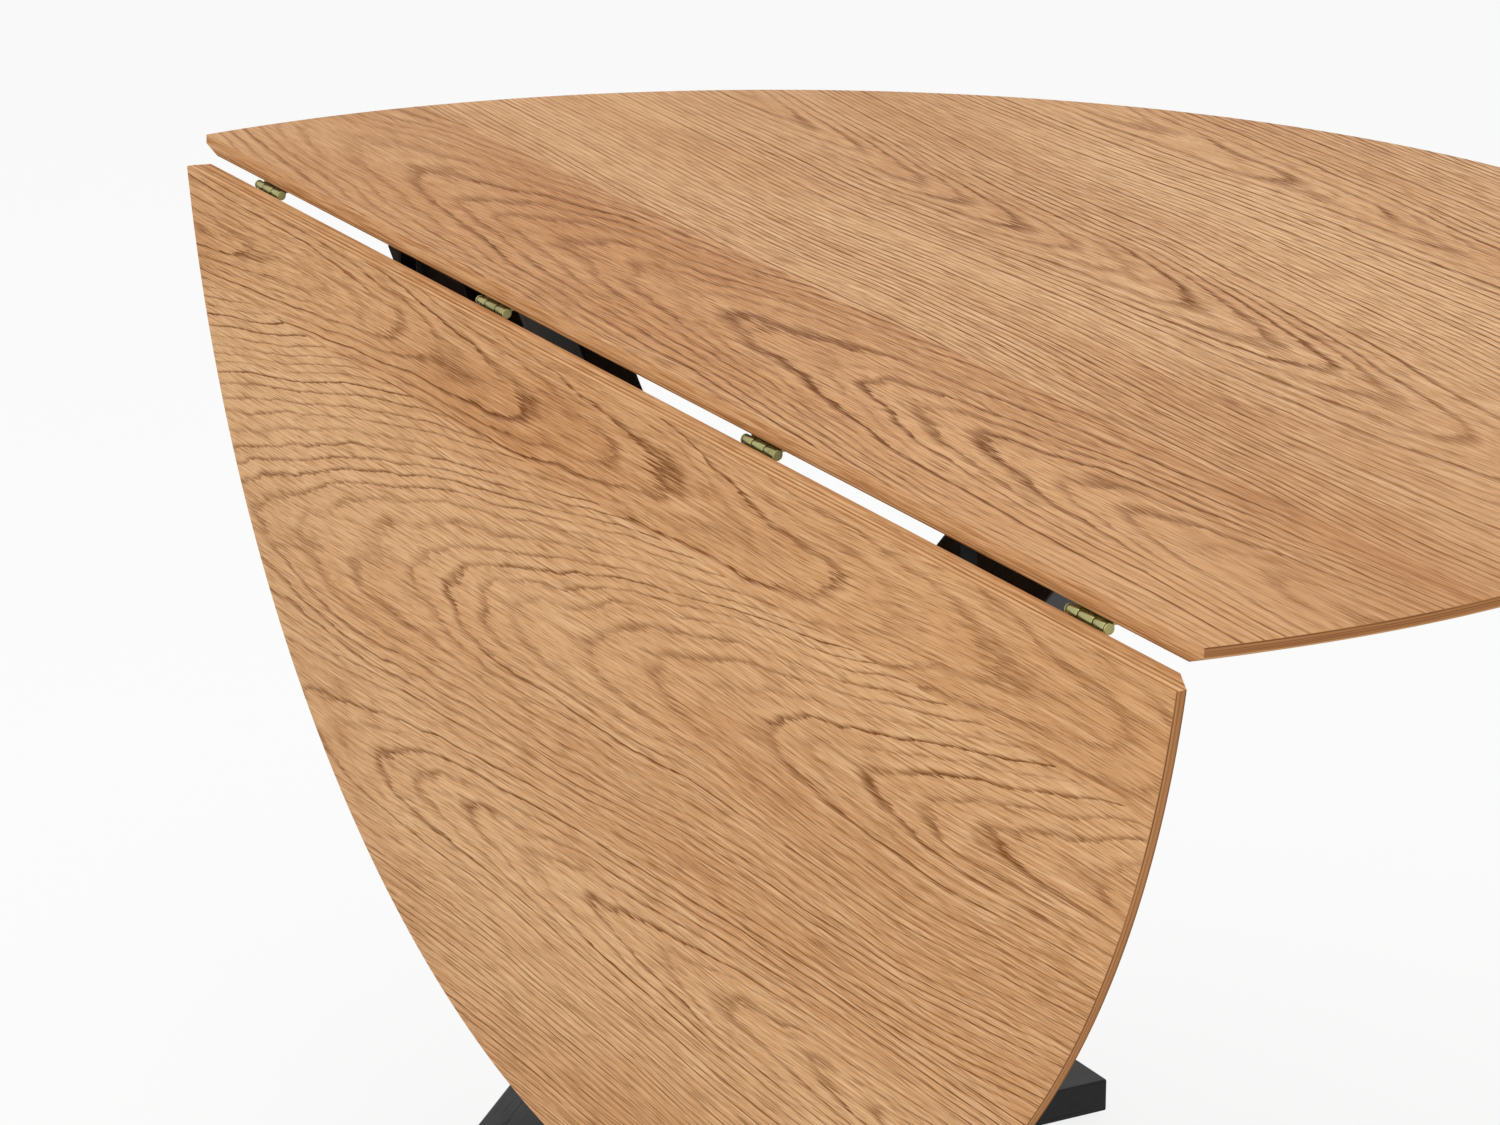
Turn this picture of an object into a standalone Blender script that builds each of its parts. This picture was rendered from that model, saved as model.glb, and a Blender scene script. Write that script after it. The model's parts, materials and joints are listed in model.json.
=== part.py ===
"""Round drop-leaf dining table: an oak-faced top in two panels on brass butt hinges, over one black X trestle.

The leaf is modelled hanging, which is how it rests. The leaf's side is the front, at -Y, and the seam runs along X.
"""

import math

import bmesh
import bpy
from mathutils import Vector

# Driving dimensions in metres.
# The top: a disc cut along one chord, upright at its rim and undercut below. The lower half of each seam edge
# leans the same way: the main panel's back from the seam, and the leaf's out to a lip that goes under it.
TOP_RADIUS = 0.650
TOP_HEIGHT = 0.750
TOP_THICK = 0.0126
RIM_UPRIGHT = 0.0064
RIM_UNDERCUT = 0.0156
RIM_STEPS = 160
SEAM_OFFSET = 0.1122
SEAM_GAP = 0.0023
MAIN_EDGE_LEAN = 0.0013
LEAF_EDGE_LEAN = 0.0033

# The butt hinges: plates on the undersides, with the barrel hanging just below the seam.
HINGE_COUNT = 4
HINGE_END_INSET = 0.1092
AXIS_DROP = 0.0048
AXIS_INSET = 0.0014
BARREL_RADIUS = 0.0032
END_KNUCKLE = 0.0112
MIDDLE_KNUCKLE = 0.0136
PIN_RADIUS = 0.0015
PIN_HEAD_THICK = 0.0014
PLATE_THICK = 0.0030
PLATE_REACH = 0.022
PLATE_SETBACK = 0.0035
WEB_START = 0.0022
WEB_END = 0.0054
WEB_OVERLAP = 0.0005
PLATE_HOLE_RADIUS = 0.0018
PLATE_HOLE_SPREAD = 0.0115

# The X trestle: two cheeks leaning one way hold a single board leaning the other way.
# The spread is where the centre lines reach the floor and the underside of the top.
LEG_SPREAD = 0.374
LEG_WIDTH = 0.083
LEG_THICK = 0.033
LEG_EDGE_ROUND = 0.002
TRESTLE_FRONT = -0.0775
CROSS_BOLT_RADIUS = 0.005
CROSS_HEAD_RADIUS = 0.011
CROSS_HEAD_THICK = 0.006
CROSS_NUT_RADIUS = 0.010
CROSS_NUT_THICK = 0.009
WASHER_RADIUS = 0.015
WASHER_THICK = 0.0015

# The feet on the floor, the bearers under the top and the rails between the bearers.
FOOT_WIDTH = 0.120
FOOT_LENGTH = 0.889
FOOT_TOP = 0.030
BEARER_WIDTH = 0.120
BEARER_THICK = 0.020
BEARER_REAR = 0.4445
RAIL_DEPTH = 0.030
BAR_EDGE_ROUND = 0.0015
GLIDE_RADIUS = 0.016
GLIDE_THICK = 0.004
GLIDE_STEM_RADIUS = 0.004
GLIDE_STEM = 0.014
GLIDE_INSET = 0.045
END_BOLT_RADIUS = 0.004
END_BOLT_HEAD_RADIUS = 0.008
END_BOLT_HEAD_THICK = 0.005
END_BOLT_DEPTH = 0.040

# The stays that swing out under the raised leaf.
STAY_X = 0.366
STAY_PIVOT_BACK = 0.020
STAY_PIVOT_DROP = 0.150
STAY_LENGTH = 0.260
STAY_ARM_WIDTH = 0.020
STAY_ARM_THICK = 0.006
BRACKET_THICK = 0.004
BRACKET_FLANGE = 0.040
BRACKET_LENGTH = 0.0225
BRACKET_BEARER_GAP = 0.0007
BRACKET_NECK = 0.011
BRACKET_NECK_LENGTH = 0.045
BRACKET_SHOULDER = 0.020
STAY_PIN_RADIUS = 0.004
STAY_PIN_HEAD_RADIUS = 0.0075
STAY_PIN_HEAD_THICK = 0.003
PAD_RADIUS = 0.0125
PAD_WIDTH = 0.010
PAD_STUB_RADIUS = 0.003
REST_PLATE_LENGTH = 0.040
REST_PLATE_WIDTH = 0.030
REST_PLATE_THICK = 0.0015

# Clearances and roundness.
FIT = 0.0003
STAY_TOUCH = 0.0004
ROUND_STEPS = 24

# Places worked out from the sizes above. The origin is on the floor, midway from the feet's front to the rear rim.
CENTRE_Y = (FOOT_LENGTH / 2 - TOP_RADIUS) / 2
UNDER_Z = TOP_HEIGHT - TOP_THICK
SEAM_Y = CENTRE_Y - SEAM_OFFSET
AXIS_Y = SEAM_Y + AXIS_INSET
AXIS_Z = UNDER_Z - AXIS_DROP
HALF_SEAM = math.sqrt(TOP_RADIUS**2 - SEAM_OFFSET**2)
HINGE_OUTER_X = HALF_SEAM - HINGE_END_INSET
BARREL_LENGTH = 2 * END_KNUCKLE + MIDDLE_KNUCKLE + 2 * FIT
FOOT_BOTTOM = GLIDE_THICK + FIT
BEARER_TOP = UNDER_Z - FIT
BEARER_BOTTOM = BEARER_TOP - BEARER_THICK
LEG_LOW = FOOT_TOP + FIT
LEG_HIGH = BEARER_BOTTOM - FIT
LEG_LEAN = 2 * LEG_SPREAD / UNDER_Z
LEG_HALF_CUT = LEG_WIDTH / 2 * math.hypot(1, LEG_LEAN)
TRESTLE_Y = CENTRE_Y + TRESTLE_FRONT
FOOT_X = LEG_SPREAD - LEG_LEAN * LEG_LOW
BEARER_X = LEG_SPREAD - LEG_LEAN * (UNDER_Z - LEG_HIGH)
STAY_PIVOT_Y = AXIS_Y + STAY_PIVOT_BACK
STAY_PIVOT_Z = AXIS_Z - STAY_PIVOT_DROP

# The arm swings from straight down until its pad meets the rest plate of the raised leaf.
PAD_RISE = STAY_PIVOT_DROP + AXIS_DROP - FIT - REST_PLATE_THICK - STAY_TOUCH - PAD_RADIUS
STAY_SWING = math.pi / 2 + math.asin(PAD_RISE / STAY_LENGTH)
STAY_REACH = STAY_LENGTH * math.sin(STAY_SWING) - STAY_PIVOT_BACK

SIDES = {"left": -1, "right": 1}
ALONG_X = (0, math.pi / 2, 0)
ALONG_Y = (-math.pi / 2, 0, 0)
UPRIGHT_XZ = (math.pi / 2, 0, 0)
UPRIGHT_YZ = (math.pi / 2, 0, math.pi / 2)

for old in list(bpy.data.objects):
    bpy.data.objects.remove(old)

table = bpy.data.collections.new("folding_dining_table")
cutters = bpy.data.collections.new("cutters")
bpy.context.scene.collection.children.link(table)
bpy.context.scene.collection.children.link(cutters)


def finish(name, colour, roughness, metallic=0.0):
    """A plain Principled material for one kind of piece."""
    material = bpy.data.materials.new(name)
    material.use_nodes = True
    shader = material.node_tree.nodes["Principled BSDF"]
    shader.inputs["Base Color"].default_value = (*colour, 1)
    shader.inputs["Roughness"].default_value = roughness
    shader.inputs["Metallic"].default_value = metallic
    return material


OAK = finish("oak_veneer", (0.56, 0.34, 0.17), 0.45)
BLACK_WOOD = finish("black_lacquered_wood", (0.012, 0.012, 0.013), 0.4)
BLACK_STEEL = finish("black_painted_steel", (0.015, 0.015, 0.016), 0.45, 0.3)
BRASS = finish("aged_brass", (0.42, 0.36, 0.14), 0.25, 1.0)
NYLON = finish("black_nylon", (0.03, 0.03, 0.03), 0.6)


def place(name, mesh, material, parent=None, location=(0, 0, 0), rotation=(0, 0, 0)):
    """Adds a mesh to the table as one named piece."""
    piece = bpy.data.objects.new(name, mesh)
    piece.location = location
    piece.rotation_euler = rotation
    piece.parent = parent
    mesh.materials.append(material)
    table.objects.link(piece)
    return piece


def helper(name, mesh, parent=None, location=(0, 0, 0), rotation=(0, 0, 0)):
    """Adds a mesh that only cuts or joins other pieces."""
    tool = bpy.data.objects.new(name, mesh)
    tool.location = location
    tool.rotation_euler = rotation
    tool.parent = parent
    tool.hide_render = True
    tool.display_type = "WIRE"
    cutters.objects.link(tool)
    return tool


def pivot(name, location, rotation=(0, 0, 0)):
    """An empty on a joint's axis, for the pieces that turn about it."""
    axis = bpy.data.objects.new(name, None)
    axis.location = location
    axis.rotation_euler = rotation
    table.objects.link(axis)
    return axis


def mesh_from(name, shape):
    mesh = bpy.data.meshes.new(name)
    shape.to_mesh(mesh)
    shape.free()
    return mesh


def box(name, low, high):
    """A block between two opposite corners."""
    low, high = Vector(low), Vector(high)
    shape = bmesh.new()
    bmesh.ops.create_cube(shape, size=1.0)
    bmesh.ops.scale(shape, vec=high - low, verts=shape.verts)
    bmesh.ops.translate(shape, vec=(low + high) / 2, verts=shape.verts)
    return mesh_from(name, shape)


def rod(name, radius, length):
    """A round bar along Z, centred on the origin."""
    shape = bmesh.new()
    bmesh.ops.create_cone(
        shape, cap_ends=True, segments=ROUND_STEPS, radius1=radius, radius2=radius, depth=length
    )
    return mesh_from(name, shape)


def slab(name, outline, thick):
    """A flat outline of (x, y) corners pushed through a thickness, half to each side of the XY plane."""
    curve = bpy.data.curves.new(name, "CURVE")
    curve.dimensions = "2D"
    curve.fill_mode = "BOTH"
    curve.extrude = thick / 2
    spline = curve.splines.new("POLY")
    spline.points.add(len(outline) - 1)
    spline.use_cyclic_u = True
    for point, (x, y) in zip(spline.points, outline):
        point.co = (x, y, 0, 1)
    guide = helper(name + "_outline", curve)
    bpy.context.view_layer.update()
    filled = bpy.data.meshes.new_from_object(guide.evaluated_get(bpy.context.evaluated_depsgraph_get()))
    bpy.data.objects.remove(guide)
    shape = bmesh.new()
    shape.from_mesh(filled)
    bpy.data.meshes.remove(filled)
    bmesh.ops.remove_doubles(shape, verts=shape.verts, dist=0.00001)
    bmesh.ops.recalc_face_normals(shape, faces=shape.faces)
    return mesh_from(name, shape)


def half_round(radius, centre_z, start):
    """Corners of a half circle about (0, centre_z), from the angle start anticlockwise to its opposite."""
    steps = ROUND_STEPS // 2
    angles = [start + math.pi * i / steps for i in range(steps + 1)]
    return [(radius * math.cos(angle), centre_z + radius * math.sin(angle)) for angle in angles]


def turned(name, points, material, location, rotation=(0, 0, 0), parent=None, steps=ROUND_STEPS):
    """A solid turned about Z from (radius, height) points that run down its outer side."""
    mesh = bpy.data.meshes.new(name)
    corners = [(radius, 0, height) for radius, height in points]
    mesh.from_pydata(corners, [(i, i + 1) for i in range(len(corners) - 1)], [])
    piece = place(name, mesh, material, parent, location, rotation)
    screw = piece.modifiers.new("turned", "SCREW")
    screw.steps = steps
    screw.render_steps = steps
    screw.use_merge_vertices = True
    screw.merge_threshold = 0.00001
    return piece


def cut(piece, cutter):
    boolean = piece.modifiers.new("cut_" + cutter.name, "BOOLEAN")
    boolean.operation = "DIFFERENCE"
    boolean.object = cutter


def join(piece, other):
    boolean = piece.modifiers.new("join_" + other.name, "BOOLEAN")
    boolean.operation = "UNION"
    boolean.object = other


def round_edges(piece, width):
    bevel = piece.modifiers.new("rounded_edges", "BEVEL")
    bevel.width = width
    bevel.segments = 2
    bevel.limit_method = "ANGLE"


def panel(name, seam_y, lean, keep, parent=None, axis=(0, 0, 0)):
    """The turned disc with its undercut rim, sawn along the seam. keep +1 leaves the rear of it, -1 the front."""
    axis = Vector(axis)
    break_z = TOP_HEIGHT - RIM_UPRIGHT
    points = [
        (0, TOP_HEIGHT),
        (TOP_RADIUS, TOP_HEIGHT),
        (TOP_RADIUS, break_z),
        (TOP_RADIUS - RIM_UNDERCUT, UNDER_Z),
        (0, UNDER_Z),
    ]
    centre = Vector((0, CENTRE_Y, 0)) - axis
    disc = turned(name, points, OAK, centre, parent=parent, steps=RIM_STEPS)
    waste_y = seam_y - keep * 2 * TOP_RADIUS
    above_z, below_z = break_z + TOP_THICK, 2 * UNDER_Z - break_z
    outline = [
        (seam_y, above_z),
        (seam_y, break_z),
        (seam_y + 2 * lean, below_z),
        (waste_y, below_z),
        (waste_y, above_z),
    ]
    saw = slab(name + "_saw", outline, 4 * TOP_RADIUS)
    cut(disc, helper(name + "_saw", saw, parent, -axis, UPRIGHT_YZ))


# The two panels of the top. The leaf and all it carries hang from the hinge axis, a quarter turn down.
panel("main_panel", SEAM_Y, MAIN_EDGE_LEAN, 1)
axis_spot = (0, AXIS_Y, AXIS_Z)
leaf_axis = pivot("leaf_axis", axis_spot, (math.pi / 2, 0, 0))
panel("leaf_panel", SEAM_Y - SEAM_GAP, LEAF_EDGE_LEAN, -1, leaf_axis, axis_spot)


def hinge_half(name, side, knuckles, parent, location):
    """A hinge plate with its knuckles, about the pin. side +1 lies under the main panel, -1 under the leaf."""
    plate_top = AXIS_DROP - FIT
    plate_bottom = plate_top - PLATE_THICK
    near, far = sorted((side * PLATE_SETBACK, side * (PLATE_SETBACK + PLATE_REACH)))
    flat = box(name, (-BARREL_LENGTH / 2, near, plate_bottom), (BARREL_LENGTH / 2, far, plate_top))
    half = place(name, flat, BRASS, parent, location)
    web_near, web_far = sorted((side * WEB_START, side * WEB_END))
    for number, (start, end) in enumerate(knuckles):
        tag = f"{name}_knuckle_{number}"
        middle = Vector(location) + Vector(((start + end) / 2, 0, 0))
        join(half, helper(tag, rod(tag, BARREL_RADIUS, end - start), parent, middle, ALONG_X))
        web = box(tag + "_web", (start, web_near, -WEB_OVERLAP), (end, web_far, plate_bottom + WEB_OVERLAP))
        join(half, helper(tag + "_web", web, parent, location))
    bore = rod(name + "_bore", PIN_RADIUS + FIT, 2 * BARREL_LENGTH)
    cut(half, helper(name + "_bore", bore, parent, location, ALONG_X))
    hole_y = side * (PLATE_SETBACK + PLATE_REACH / 2)
    for sign in (-1, 1):
        tag = f"{name}_hole_{sign + 1}"
        spot = Vector(location) + Vector((sign * PLATE_HOLE_SPREAD, hole_y, plate_top))
        cut(half, helper(tag, rod(tag, PLATE_HOLE_RADIUS, 4 * PLATE_THICK), parent, spot))


# The hinges stand at equal spaces, counted from the left. The main panel's plates have the two end knuckles, the
# leaf's plates the middle one.
knuckle_near = MIDDLE_KNUCKLE / 2 + FIT
knuckle_far = knuckle_near + END_KNUCKLE
end_knuckles = ((-knuckle_far, -knuckle_near), (knuckle_near, knuckle_far))
middle_knuckles = ((-MIDDLE_KNUCKLE / 2, MIDDLE_KNUCKLE / 2),)
pin_shank = BARREL_LENGTH / 2 + FIT
pin_tip = pin_shank + PIN_HEAD_THICK
pin_end = [(0, pin_tip), (BARREL_RADIUS, pin_tip), (BARREL_RADIUS, pin_shank), (PIN_RADIUS, pin_shank)]
pin_points = pin_end + [(radius, -height) for radius, height in reversed(pin_end)]
hinge_space = 2 * HINGE_OUTER_X / (HINGE_COUNT - 1)
for count in range(1, HINGE_COUNT + 1):
    x = (count - 1) * hinge_space - HINGE_OUTER_X
    hinge_half(f"hinge_{count}_main_plate", 1, end_knuckles, None, (x, AXIS_Y, AXIS_Z))
    hinge_half(f"hinge_{count}_leaf_plate", -1, middle_knuckles, leaf_axis, (x, 0, 0))
    turned(f"hinge_{count}_pin", pin_points, BRASS, (x, AXIS_Y, AXIS_Z), ALONG_X)


def leg_centre_x(lean, height):
    """Where a leg's centre line passes at a height. lean +1 runs from upper left to lower right."""
    return lean * (LEG_SPREAD - LEG_LEAN * height)


def leg_board(name, lean, front):
    """A slanting board with level ends, as an outline pushed through its thickness."""
    low, high = leg_centre_x(lean, LEG_LOW), leg_centre_x(lean, LEG_HIGH)
    corners = (
        (low - LEG_HALF_CUT, LEG_LOW),
        (low + LEG_HALF_CUT, LEG_LOW),
        (high + LEG_HALF_CUT, LEG_HIGH),
        (high - LEG_HALF_CUT, LEG_HIGH),
    )
    middle = (0, front + LEG_THICK / 2, 0)
    board = place(name, slab(name, corners, LEG_THICK), BLACK_WOOD, None, middle, UPRIGHT_XZ)
    round_edges(board, LEG_EDGE_ROUND)
    return board


# The X: a cheek, the centre board and a second cheek, front to back.
front_y = TRESTLE_Y
centre_y = front_y + LEG_THICK + FIT
back_y = centre_y + LEG_THICK + FIT
trestle_back_y = back_y + LEG_THICK
front_cheek = leg_board("leg_front_cheek", 1, front_y)
centre_board = leg_board("leg_centre_board", -1, centre_y)
back_cheek = leg_board("leg_back_cheek", 1, back_y)

# One bolt holds the X together where it crosses, with a washer at each end and a hexagon nut behind.
half_trestle = (trestle_back_y - front_y) / 2
cross_spot = (0, (front_y + trestle_back_y) / 2, UNDER_Z / 2)
cross_rod = rod("cross_hole", CROSS_BOLT_RADIUS + FIT, 3 * half_trestle)
cross_hole = helper("cross_hole", cross_rod, None, cross_spot, ALONG_Y)
washer_low = half_trestle + FIT
washer_high = washer_low + WASHER_THICK
grip = washer_high + FIT
bolt_points = [
    (0, grip + CROSS_NUT_THICK + 2 * FIT),
    (CROSS_BOLT_RADIUS, grip + CROSS_NUT_THICK + 2 * FIT),
    (CROSS_BOLT_RADIUS, -grip),
]
for turn in (0, math.pi / 6, math.pi / 3):
    bolt_points.append((CROSS_HEAD_RADIUS * math.cos(turn), -grip - CROSS_HEAD_THICK * math.sin(turn)))
bolt_points.append((0, -grip - CROSS_HEAD_THICK))
nut_points = [
    (0, grip + CROSS_NUT_THICK),
    (CROSS_NUT_RADIUS, grip + CROSS_NUT_THICK),
    (CROSS_NUT_RADIUS, grip),
    (0, grip),
]
turned("cross_bolt", bolt_points, BLACK_STEEL, cross_spot, ALONG_Y)
drilled = [front_cheek, centre_board, back_cheek]
drilled.append(turned("cross_nut", nut_points, BLACK_STEEL, cross_spot, ALONG_Y, steps=6))
for where, low, high in (("front", -washer_high, -washer_low), ("back", washer_low, washer_high)):
    points = [(0, high), (WASHER_RADIUS, high), (WASHER_RADIUS, low), (0, low)]
    drilled.append(turned(f"cross_washer_{where}", points, BLACK_STEEL, cross_spot, ALONG_Y))
for piece in drilled:
    cut(piece, cross_hole)


def bar(name, low, high):
    """A straight black bar with eased edges."""
    piece = place(name, box(name, low, high), BLACK_WOOD)
    round_edges(piece, BAR_EDGE_ROUND)
    return piece


# On each side a foot stands on the floor and a bearer carries the main panel.
feet, bearers = {}, {}
foot_front, foot_rear = CENTRE_Y - FOOT_LENGTH / 2, CENTRE_Y + FOOT_LENGTH / 2
bearer_rear = CENTRE_Y + BEARER_REAR
for side, sign in SIDES.items():
    foot_near, foot_far = sign * FOOT_X - FOOT_WIDTH / 2, sign * FOOT_X + FOOT_WIDTH / 2
    feet[side] = bar(f"foot_{side}", (foot_near, foot_front, FOOT_BOTTOM), (foot_far, foot_rear, FOOT_TOP))
    near, far = sign * BEARER_X - BEARER_WIDTH / 2, sign * BEARER_X + BEARER_WIDTH / 2
    bearers[side] = bar(f"bearer_{side}", (near, TRESTLE_Y, BEARER_BOTTOM), (far, bearer_rear, BEARER_TOP))

# Three rails tie the bearers together under the panel.
rail_half = BEARER_X - BEARER_WIDTH / 2 - FIT
rail_middle_y = (TRESTLE_Y + bearer_rear - RAIL_DEPTH) / 2
for where, y in (("front", TRESTLE_Y), ("middle", rail_middle_y), ("rear", bearer_rear - RAIL_DEPTH)):
    bar(f"rail_{where}", (-rail_half, y, BEARER_BOTTOM), (rail_half, y + RAIL_DEPTH, BEARER_TOP))

# Nylon glides are pressed into the feet from below.
glide_points = [
    (0, GLIDE_THICK + GLIDE_STEM),
    (GLIDE_STEM_RADIUS, GLIDE_THICK + GLIDE_STEM),
    (GLIDE_STEM_RADIUS, GLIDE_THICK),
    (GLIDE_RADIUS, GLIDE_THICK),
    (GLIDE_RADIUS, GLIDE_THICK / 3),
    (GLIDE_RADIUS - GLIDE_THICK / 3, 0),
    (0, 0),
]
for side, sign in SIDES.items():
    for where, y in (("front", foot_front + GLIDE_INSET), ("rear", foot_rear - GLIDE_INSET)):
        name = f"glide_{side}_{where}"
        turned(name, glide_points, NYLON, (sign * FOOT_X, y, 0))
        socket = rod(name + "_socket", GLIDE_STEM_RADIUS + FIT, 2 * (GLIDE_STEM + FIT))
        cut(feet[side], helper(name + "_socket", socket, None, (sign * FOOT_X, y, FOOT_BOTTOM)))


def end_bolt(name, leg, rail, x, y, seat_z, end_z, out):
    """A bolt through a bar into a leg's end. out is +1 where its head is on top and -1 where it is below."""
    flush = seat_z - out * FIT
    under_head = flush - out * END_BOLT_HEAD_THICK
    tip = end_z - out * END_BOLT_DEPTH
    points = [
        (0, flush),
        (END_BOLT_HEAD_RADIUS, flush),
        (END_BOLT_HEAD_RADIUS, under_head),
        (END_BOLT_RADIUS, under_head),
        (END_BOLT_RADIUS, tip),
        (0, tip),
    ]
    turned(name, points[::out], BLACK_STEEL, (x, y, 0))
    hole_rod = rod(name + "_hole", END_BOLT_RADIUS + FIT, abs(seat_z - tip) + 2 * FIT)
    hole = helper(name + "_hole", hole_rod, None, (x, y, (seat_z + tip) / 2))
    sink_rod = rod(name + "_sink", END_BOLT_HEAD_RADIUS + FIT, 2 * (END_BOLT_HEAD_THICK + 2 * FIT))
    sink = helper(name + "_sink", sink_rod, None, (x, y, seat_z))
    cut(leg, hole)
    cut(rail, hole)
    cut(rail, sink)


# Each board is bolted at both ends: through its bearer from above and through its foot from below.
boards = (
    ("front", front_cheek, 1, front_y),
    ("centre", centre_board, -1, centre_y),
    ("back", back_cheek, 1, back_y),
)
for title, board, lean, board_y in boards:
    y = board_y + LEG_THICK / 2
    upper, lower = ("left", "right") if lean > 0 else ("right", "left")
    upper_x, lower_x = leg_centre_x(lean, LEG_HIGH), leg_centre_x(lean, LEG_LOW)
    end_bolt(f"bearer_bolt_{title}", board, bearers[upper], upper_x, y, BEARER_TOP, LEG_HIGH, 1)
    end_bolt(f"foot_bolt_{title}", board, feet[lower], lower_x, y, FOOT_BOTTOM, LEG_LOW, -1)


def stay(side, sign):
    """A bracket under the main panel, and an arm that hangs beside it and swings out under the leaf."""
    title = f"stay_{side}"
    spot = Vector((sign * STAY_X, STAY_PIVOT_Y, STAY_PIVOT_Z))
    half_arm = STAY_ARM_WIDTH / 2

    # The bracket's flange is screwed to the panel just in front of the bearer. Its web is narrow there and wider
    # round the pin.
    flange_top = BEARER_TOP - STAY_PIVOT_Z
    flange_back = TRESTLE_Y - BRACKET_BEARER_GAP - STAY_PIVOT_Y
    flange_front = flange_back - BRACKET_LENGTH
    flange_low, flange_high = sorted((0, -sign * BRACKET_FLANGE))
    flange = box(
        title + "_bracket",
        (flange_low, flange_front, flange_top - BRACKET_THICK),
        (flange_high, flange_back, flange_top),
    )
    bracket = place(title + "_bracket", flange, BLACK_STEEL, None, spot)
    web_top = flange_top - BRACKET_THICK / 2
    neck_z = flange_top - BRACKET_NECK_LENGTH
    neck_back = flange_back - FIT
    outline = half_round(half_arm, 0, math.pi) + [
        (half_arm, neck_z - BRACKET_SHOULDER),
        (neck_back, neck_z),
        (neck_back, web_top),
        (neck_back - BRACKET_NECK, web_top),
        (neck_back - BRACKET_NECK, neck_z),
        (-half_arm, neck_z - BRACKET_SHOULDER),
    ]
    web = slab(title + "_web", outline, BRACKET_THICK)
    web_spot = spot - Vector((sign * BRACKET_THICK / 2, 0, 0))
    join(bracket, helper(title + "_web", web, None, web_spot, UPRIGHT_YZ))
    hole_rod = rod(title + "_pin_hole", STAY_PIN_RADIUS + FIT, 8 * STAY_ARM_THICK)
    pin_hole = helper(title + "_pin_hole", hole_rod, None, spot, ALONG_X)
    cut(bracket, pin_hole)

    # The arm hangs against the web's outer face.
    axis = pivot(title + "_axis", spot)
    outline = half_round(half_arm, 0, 0) + half_round(half_arm, -STAY_LENGTH, math.pi)
    arm_spot = (sign * (FIT + STAY_ARM_THICK / 2), 0, 0)
    arm = place(title + "_arm", slab(title + "_arm", outline, STAY_ARM_THICK), BLACK_STEEL, axis, arm_spot, UPRIGHT_YZ)
    cut(arm, pin_hole)

    # The pin is headed over the arm and behind the web.
    outward = (0, sign * math.pi / 2, 0)
    outer = STAY_ARM_THICK + 2 * FIT
    inner = -BRACKET_THICK - FIT
    pin = [
        (0, outer + STAY_PIN_HEAD_THICK),
        (STAY_PIN_HEAD_RADIUS, outer + STAY_PIN_HEAD_THICK),
        (STAY_PIN_HEAD_RADIUS, outer),
        (STAY_PIN_RADIUS, outer),
        (STAY_PIN_RADIUS, inner),
        (STAY_PIN_HEAD_RADIUS, inner),
        (STAY_PIN_HEAD_RADIUS, inner - STAY_PIN_HEAD_THICK),
        (0, inner - STAY_PIN_HEAD_THICK),
    ]
    turned(title + "_pin", pin, BLACK_STEEL, spot, outward)

    # A nylon pad on the arm's tip has a stub pressed into the arm.
    pad = [
        (0, outer + PAD_WIDTH),
        (PAD_RADIUS - FIT, outer + PAD_WIDTH),
        (PAD_RADIUS, outer + PAD_WIDTH - FIT),
        (PAD_RADIUS, outer),
        (PAD_STUB_RADIUS, outer),
        (PAD_STUB_RADIUS, FIT),
        (0, FIT),
    ]
    tip = (0, 0, -STAY_LENGTH)
    turned(title + "_pad", pad, NYLON, tip, outward, axis)
    stub_rod = rod(title + "_stub_hole", PAD_STUB_RADIUS + FIT, 8 * STAY_ARM_THICK)
    cut(arm, helper(title + "_stub_hole", stub_rod, axis, tip, ALONG_X))

    # The pad bears on a thin plate on the leaf's inner face.
    pad_x = sign * (STAY_X + outer + PAD_WIDTH / 2)
    rest_top = AXIS_DROP - FIT
    rest_front, rest_back = -STAY_REACH - REST_PLATE_LENGTH / 2, -STAY_REACH + REST_PLATE_LENGTH / 2
    rest = box(
        title + "_rest_plate",
        (pad_x - REST_PLATE_WIDTH / 2, rest_front, rest_top - REST_PLATE_THICK),
        (pad_x + REST_PLATE_WIDTH / 2, rest_back, rest_top),
    )
    place(title + "_rest_plate", rest, BLACK_STEEL, leaf_axis)


for side, sign in SIDES.items():
    stay(side, sign)

for piece in table.objects:
    if piece.type == "MESH":
        piece.data.shade_smooth()
        piece.data.set_sharp_from_angle(angle=math.radians(30))
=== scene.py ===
"""A round drop-leaf dining table with one leaf hanging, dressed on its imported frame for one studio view."""

import json
import math
from collections import namedtuple

import bmesh
import bpy
from mathutils import Matrix, Vector


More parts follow.
